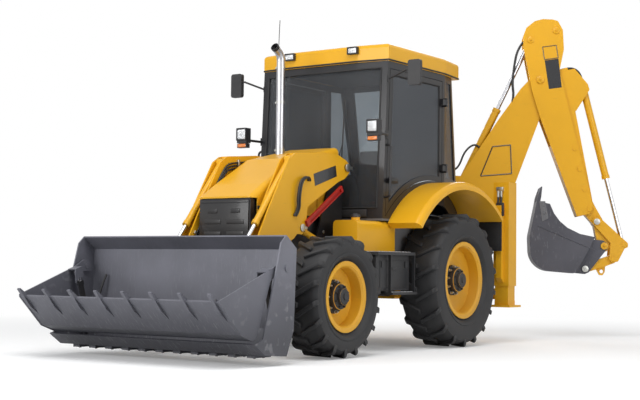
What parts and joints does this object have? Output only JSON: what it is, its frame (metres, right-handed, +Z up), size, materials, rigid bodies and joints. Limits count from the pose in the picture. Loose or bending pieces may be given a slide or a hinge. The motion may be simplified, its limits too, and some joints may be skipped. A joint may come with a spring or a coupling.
{
  "type": "backhoe loader",
  "caption": "Wheeled backhoe loader: enclosed cab, clamshell loader bucket on lift arms in front, extending side-shift backhoe and stabilisers behind.",
  "frame": {"origin": "on the ground, on the centreline, straight below the rear axle", "axes": "+X forward, +Y to the machine's left, +Z up"},
  "size_m": [6.8442, 3.0323, 3.7639],
  "materials": {
    "yellow": "semi-gloss paint",
    "black_paint": "satin paint",
    "bucket_grey": "satin paint, worn edges",
    "red_paint": "semi-gloss paint",
    "cast_iron": "painted casting",
    "chrome": "ground and plated",
    "tyre": "matt rubber",
    "glass": "tinted, clear",
    "black_plastic": "matt, grained",
    "lamp_plastic": "clear lens in a black shell",
    "seat_fabric": "woven"
  },
  "bodies": {
    "chassis": {"chassis_frame": "black_paint", "axles": "cast_iron", "powertrain": "cast_iron", "cowl": "yellow", "grille": "black_paint", "exhaust_stack": "chrome", "cab_frame": "black_paint", "cab_glass": "glass", "cab_roof": "yellow", "cab_floor": "black_plastic", "seat": "seat_fabric", "controls": "black_plastic", "fenders": "yellow", "side_steps": "black_plastic", "side_tanks": "yellow", "lamps": "lamp_plastic", "mirrors": "black_plastic", "rear_frame": "yellow"},
    "bonnet": {"bonnet": "yellow"},
    "door_left": {"door_left": "black_paint", "door_glass_left": "glass"},
    "door_right": {"door_right": "black_paint", "door_glass_right": "glass"},
    "knuckle_left": {"knuckle_left": "cast_iron"},
    "knuckle_right": {"knuckle_right": "cast_iron"},
    "front_wheel_left": {"front_rim_left": "yellow", "front_tyre_left": "tyre"},
    "front_wheel_right": {"front_rim_right": "yellow", "front_tyre_right": "tyre"},
    "rear_wheel_left": {"rear_rim_left": "yellow", "rear_tyre_left": "tyre"},
    "rear_wheel_right": {"rear_rim_right": "yellow", "rear_tyre_right": "tyre"},
    "loader_arms": {"loader_arms": "yellow", "safety_strut": "red_paint"},
    "lift_barrels": {"lift_ram_barrel": "yellow"},
    "lift_rods": {"lift_ram_rod": "chrome"},
    "tilt_barrels": {"tilt_ram_barrel": "yellow"},
    "tilt_rods": {"tilt_ram_rod": "chrome"},
    "loader_bucket": {"loader_bucket": "bucket_grey"},
    "clam": {"clam": "bucket_grey"},
    "clam_barrels": {"clam_ram_barrel": "black_paint"},
    "clam_rods": {"clam_ram_rod": "chrome"},
    "stabiliser_left": {"stabiliser_leg_left": "yellow"},
    "stabiliser_right": {"stabiliser_leg_right": "yellow"},
    "carriage": {"carriage": "yellow"},
    "kingpost": {"kingpost": "yellow"},
    "boom": {"boom": "yellow"},
    "boom_barrel": {"boom_ram_barrel": "yellow"},
    "boom_rod": {"boom_ram_rod": "chrome"},
    "dipper": {"dipper": "yellow"},
    "dipper_barrel": {"dipper_ram_barrel": "yellow"},
    "dipper_rod": {"dipper_ram_rod": "chrome"},
    "inner_dipper": {"inner_dipper": "yellow"},
    "bucket_barrel": {"bucket_ram_barrel": "yellow"},
    "bucket_rod": {"bucket_ram_rod": "chrome"},
    "tipping_lever": {"tipping_lever": "yellow"},
    "tipping_link": {"tipping_link": "yellow"},
    "digging_bucket": {"digging_bucket": "bucket_grey"}
  },
  "joints": [
    {"name": "steer_left", "type": "hinge", "parent": "chassis", "child": "knuckle_left", "pos_m": [2.17, 0.8, 0.547], "axis": [0, 0, 1], "range_deg": [-33, 33]},
    {"name": "steer_right", "type": "hinge", "parent": "chassis", "child": "knuckle_right", "pos_m": [2.17, -0.8, 0.547], "axis": [0, 0, 1], "range_deg": [-33, 33]},
    {"name": "front_wheel_left_spin", "type": "hinge", "parent": "knuckle_left", "child": "front_wheel_left", "pos_m": [2.17, 0.938, 0.547], "axis": [0, 1, 0], "continuous": true},
    {"name": "rear_wheel_left_spin", "type": "hinge", "parent": "chassis", "child": "rear_wheel_left", "pos_m": [0, 0.925, 0.687], "axis": [0, 1, 0], "continuous": true},
    {"name": "door_left_hinge", "type": "hinge", "parent": "chassis", "child": "door_left", "pos_m": [-0.138, 0.805, 2.2], "axis": [0, 0, 1], "range_deg": [0, 80]},
    {"name": "stabiliser_left_slide", "type": "slide", "parent": "chassis", "child": "stabiliser_left", "axis": [0, 0, -1], "range_m": [0, 0.56]},
    {"name": "front_wheel_right_spin", "type": "hinge", "parent": "knuckle_right", "child": "front_wheel_right", "pos_m": [2.17, -0.938, 0.547], "axis": [0, 1, 0], "continuous": true},
    {"name": "rear_wheel_right_spin", "type": "hinge", "parent": "chassis", "child": "rear_wheel_right", "pos_m": [0, -0.925, 0.687], "axis": [0, 1, 0], "continuous": true},
    {"name": "door_right_hinge", "type": "hinge", "parent": "chassis", "child": "door_right", "pos_m": [-0.138, -0.805, 2.2], "axis": [0, 0, -1], "range_deg": [0, 80]},
    {"name": "stabiliser_right_slide", "type": "slide", "parent": "chassis", "child": "stabiliser_right", "axis": [0, 0, -1], "range_m": [0, 0.56]},
    {"name": "bonnet_hinge", "type": "hinge", "parent": "chassis", "child": "bonnet", "pos_m": [1.562, 0, 1.893], "axis": [0, -1, 0], "range_deg": [0, 55]},
    {"name": "arms_lift", "type": "hinge", "parent": "chassis", "child": "loader_arms", "pos_m": [1.234, 0, 1.785], "axis": [0, -1, 0], "range_deg": [-3, 80]},
    {"name": "lift_barrel_pivot", "type": "hinge", "parent": "chassis", "child": "lift_barrels", "pos_m": [1, 0, 0.835], "axis": [0, -1, 0], "range_deg": [-3, 41]},
    {"name": "lift_rod_slide", "type": "slide", "parent": "lift_barrels", "child": "lift_rods", "axis": [0.9432, 0, 0.3324], "range_m": [-0.04, 0.845]},
    {"name": "bucket_tilt", "type": "hinge", "parent": "loader_arms", "child": "loader_bucket", "pos_m": [2.93, 0, 0.385], "axis": [0, 1, 0], "range_deg": [-5, 95]},
    {"name": "tilt_barrel_pivot", "type": "hinge", "parent": "loader_arms", "child": "tilt_barrels", "pos_m": [2.11, 0, 1.805], "axis": [0, 1, 0], "range_deg": [-3.5, 1]},
    {"name": "tilt_rod_slide", "type": "slide", "parent": "tilt_barrels", "child": "tilt_rods", "axis": [0.6302, 0, -0.7765], "range_m": [-0.04, 0.58]},
    {"name": "clam_opening", "type": "hinge", "parent": "loader_bucket", "child": "clam", "pos_m": [3.16, 0, 0.796], "axis": [0, -1, 0], "range_deg": [0, 85]},
    {"name": "clam_barrel_pivot", "type": "hinge", "parent": "loader_bucket", "child": "clam_barrels", "pos_m": [3.17, 0, 0.225], "axis": [0, -1, 0], "range_deg": [0, 10]},
    {"name": "clam_rod_slide", "type": "slide", "parent": "clam_barrels", "child": "clam_rods", "axis": [0.2817, 0, 0.9595], "range_m": [0, 0.22]},
    {"name": "carriage_slide", "type": "slide", "parent": "chassis", "child": "carriage", "axis": [0, 1, 0], "range_m": [-0.03, 1.13]},
    {"name": "slew", "type": "hinge", "parent": "carriage", "child": "kingpost", "pos_m": [-1.36, -0.55, 0.8], "axis": [0, 0, -1], "range_deg": [-150, 30]},
    {"name": "boom_lift", "type": "hinge", "parent": "kingpost", "child": "boom", "pos_m": [-1.5, -0.30751, 0.8], "axis": [0.866, 0.5, 0], "range_deg": [-88, 12]},
    {"name": "boom_barrel_pivot", "type": "hinge", "parent": "kingpost", "child": "boom_barrel", "pos_m": [-1.36, -0.55, 1.16], "axis": [0.866, 0.5, 0], "range_deg": [-77, 11]},
    {"name": "boom_rod_slide", "type": "slide", "parent": "boom_barrel", "child": "boom_rod", "axis": [-0.3369, 0.5835, 0.739], "range_m": [-0.09, 0.61]},
    {"name": "dipper_swing", "type": "hinge", "parent": "boom", "child": "dipper", "pos_m": [-2.201, 0.90665, 3.041], "axis": [0.866, 0.5, 0], "range_deg": [-12, 100]},
    {"name": "dipper_barrel_pivot", "type": "hinge", "parent": "boom", "child": "dipper_barrel", "pos_m": [-1.735, 0.09952, 1.79], "axis": [0.866, 0.5, 0], "range_deg": [-1.5, 6.5]},
    {"name": "dipper_rod_slide", "type": "slide", "parent": "dipper_barrel", "child": "dipper_rod", "axis": [-0.2146, 0.3716, 0.9032], "range_m": [-0.75, 0.1]},
    {"name": "dipper_extension", "type": "slide", "parent": "dipper", "child": "inner_dipper", "axis": [-0.1173, 0.2031, -0.9721], "range_m": [0, 1.05]},
    {"name": "bucket_curl", "type": "hinge", "parent": "inner_dipper", "child": "digging_bucket", "pos_m": [-2.5745, 1.55358, 1.086], "axis": [0.866, 0.5, 0], "range_deg": [-4, 165]},
    {"name": "lever_pivot", "type": "hinge", "parent": "inner_dipper", "child": "tipping_lever", "pos_m": [-2.531, 1.47823, 1.369], "axis": [0.866, 0.5, 0], "range_deg": [-3, 97]},
    {"name": "link_pivot", "type": "hinge", "parent": "digging_bucket", "child": "tipping_link", "pos_m": [-2.4645, 1.36305, 0.816], "axis": [0.866, 0.5, 0], "range_deg": [-87, 3]},
    {"name": "bucket_barrel_pivot", "type": "hinge", "parent": "inner_dipper", "child": "bucket_barrel", "pos_m": [-2.46, 1.35526, 2.95], "axis": [0.866, 0.5, 0], "range_deg": [-1, 7]},
    {"name": "bucket_rod_slide", "type": "slide", "parent": "bucket_barrel", "child": "bucket_rod", "axis": [-0.1198, 0.2076, -0.9708], "range_m": [-0.6, 0.02]}
  ],
  "couplings": [
    {"joint": "steer_right", "follows": "steer_left", "ratio": 1},
    {"joint": "lift_barrel_pivot", "follows": "arms_lift", "ratio": 0.488},
    {"joint": "lift_rod_slide", "follows": "arms_lift", "m_per_rad": 0.6},
    {"joint": "tilt_barrel_pivot", "follows": "bucket_tilt", "ratio": -0.03},
    {"joint": "tilt_rod_slide", "follows": "bucket_tilt", "m_per_rad": 0.338},
    {"joint": "clam_barrel_pivot", "follows": "clam_opening", "ratio": 0.114},
    {"joint": "clam_rod_slide", "follows": "clam_opening", "m_per_rad": 0.142},
    {"joint": "boom_barrel_pivot", "follows": "boom_lift", "ratio": 0.862},
    {"joint": "boom_rod_slide", "follows": "boom_lift", "m_per_rad": -0.388},
    {"joint": "dipper_barrel_pivot", "follows": "dipper_swing", "ratio": 0.06},
    {"joint": "dipper_rod_slide", "follows": "dipper_swing", "m_per_rad": -0.42},
    {"joint": "lever_pivot", "follows": "bucket_curl", "ratio": 0.58},
    {"joint": "link_pivot", "follows": "bucket_curl", "ratio": -0.52},
    {"joint": "bucket_barrel_pivot", "follows": "bucket_curl", "ratio": 0.038},
    {"joint": "bucket_rod_slide", "follows": "bucket_curl", "m_per_rad": -0.2}
  ]
}
